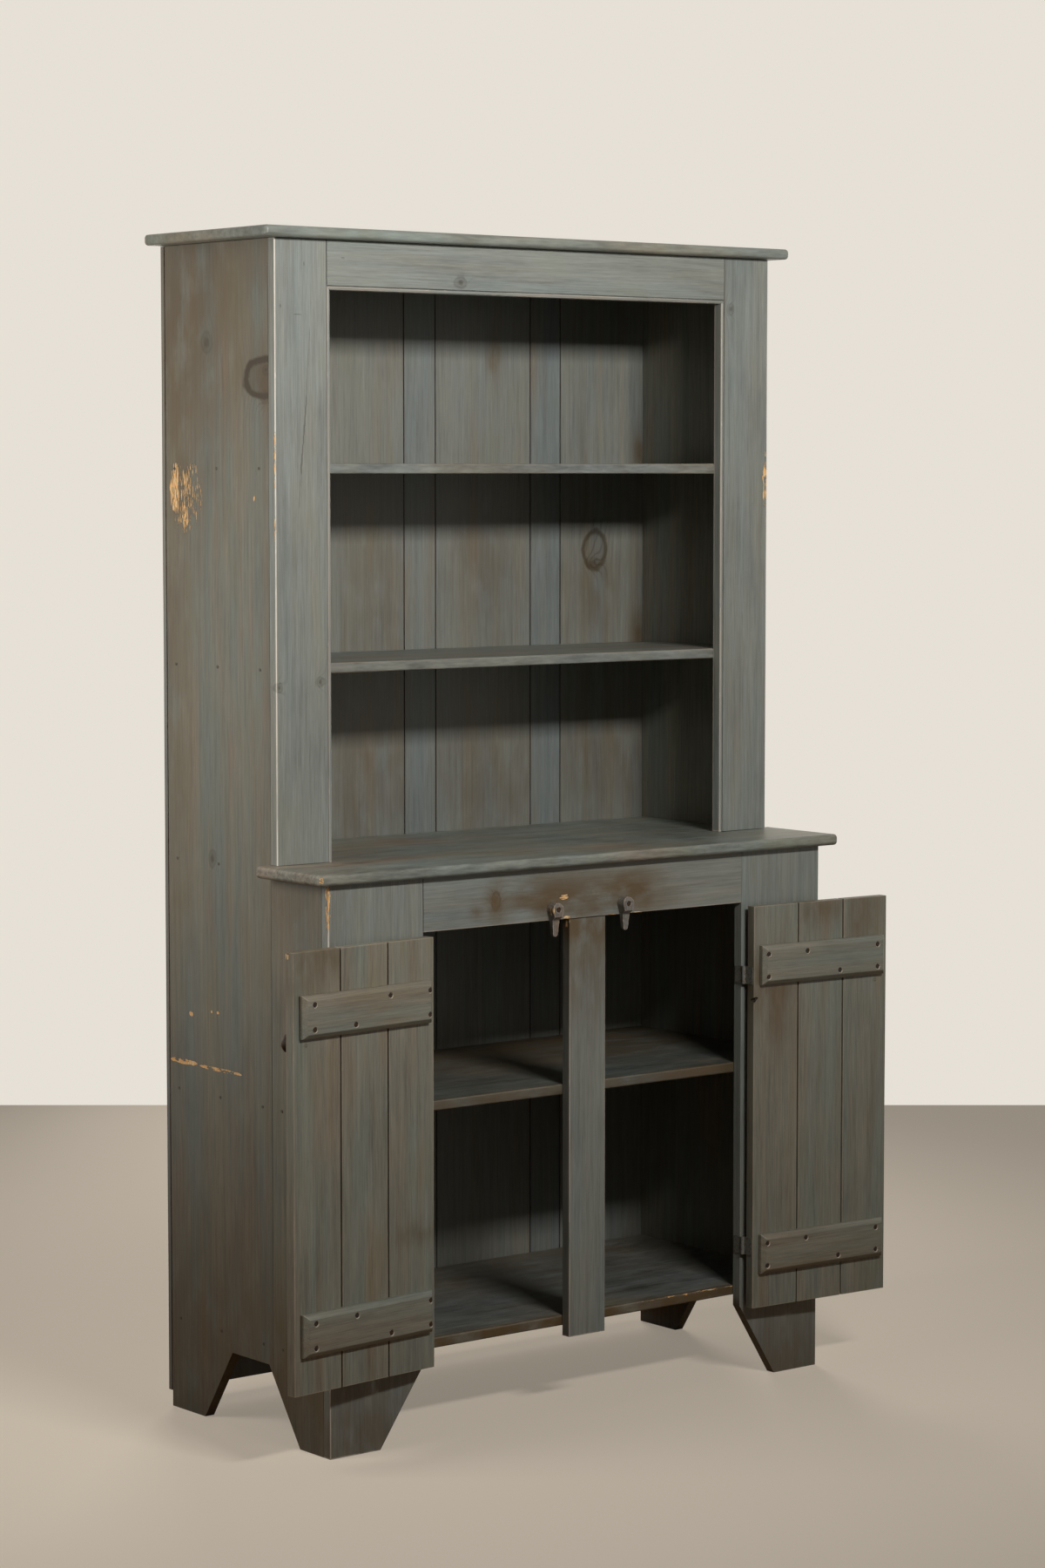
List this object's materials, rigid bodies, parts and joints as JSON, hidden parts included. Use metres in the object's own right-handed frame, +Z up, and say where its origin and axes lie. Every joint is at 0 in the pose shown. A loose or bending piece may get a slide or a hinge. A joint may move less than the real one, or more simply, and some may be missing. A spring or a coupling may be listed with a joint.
{
  "type": "stepback hutch cupboard",
  "caption": "Painted pine stepback hutch: open shelves over a counter, with two hinged batten doors and wooden turn buttons below.",
  "frame": {"origin": "on the floor, in the middle of the space that the cupboard takes with its doors open as at rest; on the case's middle line across", "axes": "+X to the right across the front, +Y from the front to the back, +Z up"},
  "size_m": [1.3121, 0.552, 2],
  "materials": {
    "side_paint": "worn grey-brown paint wash over pine",
    "frame_paint": "worn blue-grey paint wash over pine",
    "inside_paint": "worn blue-grey paint wash over pine, darker inside",
    "door_paint": "worn brown-grey paint wash over pine",
    "dark_knob_wood": "dark worn wood",
    "painted_hinge_iron": "hinge iron painted over with the frame",
    "old_iron": "dull old iron"
  },
  "bodies": {
    "case": {"side_board_left": "side_paint", "side_board_right": "side_paint", "side_front_left": "side_paint", "side_front_right": "side_paint", "top_board": "frame_paint", "counter_board": "inside_paint", "upper_stile_left": "frame_paint", "upper_stile_right": "frame_paint", "upper_rail": "frame_paint", "upper_bead_left": "frame_paint", "upper_bead_right": "frame_paint", "upper_bead_top": "frame_paint", "lower_stile_left": "frame_paint", "lower_stile_right": "frame_paint", "lower_rail": "frame_paint", "centre_stile": "frame_paint", "shelf_top": "inside_paint", "shelf_middle": "inside_paint", "shelf_lower": "inside_paint", "shelf_bottom": "inside_paint", "back_board_1": "inside_paint", "back_board_2": "inside_paint", "back_board_3": "inside_paint", "back_board_4": "inside_paint", "back_board_5": "inside_paint", "back_board_6": "inside_paint", "back_board_7": "inside_paint", "side_nails_left": "old_iron", "side_nails_right": "old_iron", "back_nails": "old_iron", "frame_hinge_leaves": "painted_hinge_iron", "frame_hinge_screws": "old_iron", "hinge_pins": "painted_hinge_iron", "turn_button_screws": "old_iron"},
    "left_door": {"left_door_plank_1": "door_paint", "left_door_plank_2": "door_paint", "left_door_plank_3": "door_paint", "left_door_batten_upper": "door_paint", "left_door_batten_lower": "door_paint", "left_door_batten_screws": "old_iron", "left_door_knob": "dark_knob_wood", "left_door_knob_screw": "old_iron", "left_door_hinge_leaves": "painted_hinge_iron", "left_door_hinge_screws": "old_iron"},
    "right_door": {"right_door_plank_1": "door_paint", "right_door_plank_2": "door_paint", "right_door_plank_3": "door_paint", "right_door_batten_upper": "door_paint", "right_door_batten_lower": "door_paint", "right_door_batten_screws": "old_iron", "right_door_knob": "dark_knob_wood", "right_door_knob_screw": "old_iron", "right_door_hinge_leaves": "painted_hinge_iron", "right_door_hinge_screws": "old_iron"},
    "left_button": {"left_turn_button": "frame_paint"},
    "right_button": {"right_turn_button": "frame_paint"}
  },
  "joints": [
    {"name": "left_door_hinge", "type": "hinge", "parent": "case", "child": "left_door", "pos_m": [-0.346, -0.20617, 0.242], "axis": [0, 0, 1], "range_deg": [-3.8, 174.2]},
    {"name": "right_door_hinge", "type": "hinge", "parent": "case", "child": "right_door", "pos_m": [0.354, -0.20617, 0.242], "axis": [0, 0, 1], "range_deg": [-176.9, 1.1]},
    {"name": "left_button_turn", "type": "hinge", "parent": "case", "child": "left_button", "pos_m": [-0.073, -0.20057, 0.869], "axis": [0, 1, 0], "continuous": true},
    {"name": "right_button_turn", "type": "hinge", "parent": "case", "child": "right_button", "pos_m": [0.081, -0.20057, 0.869], "axis": [0, 1, 0], "continuous": true}
  ]
}
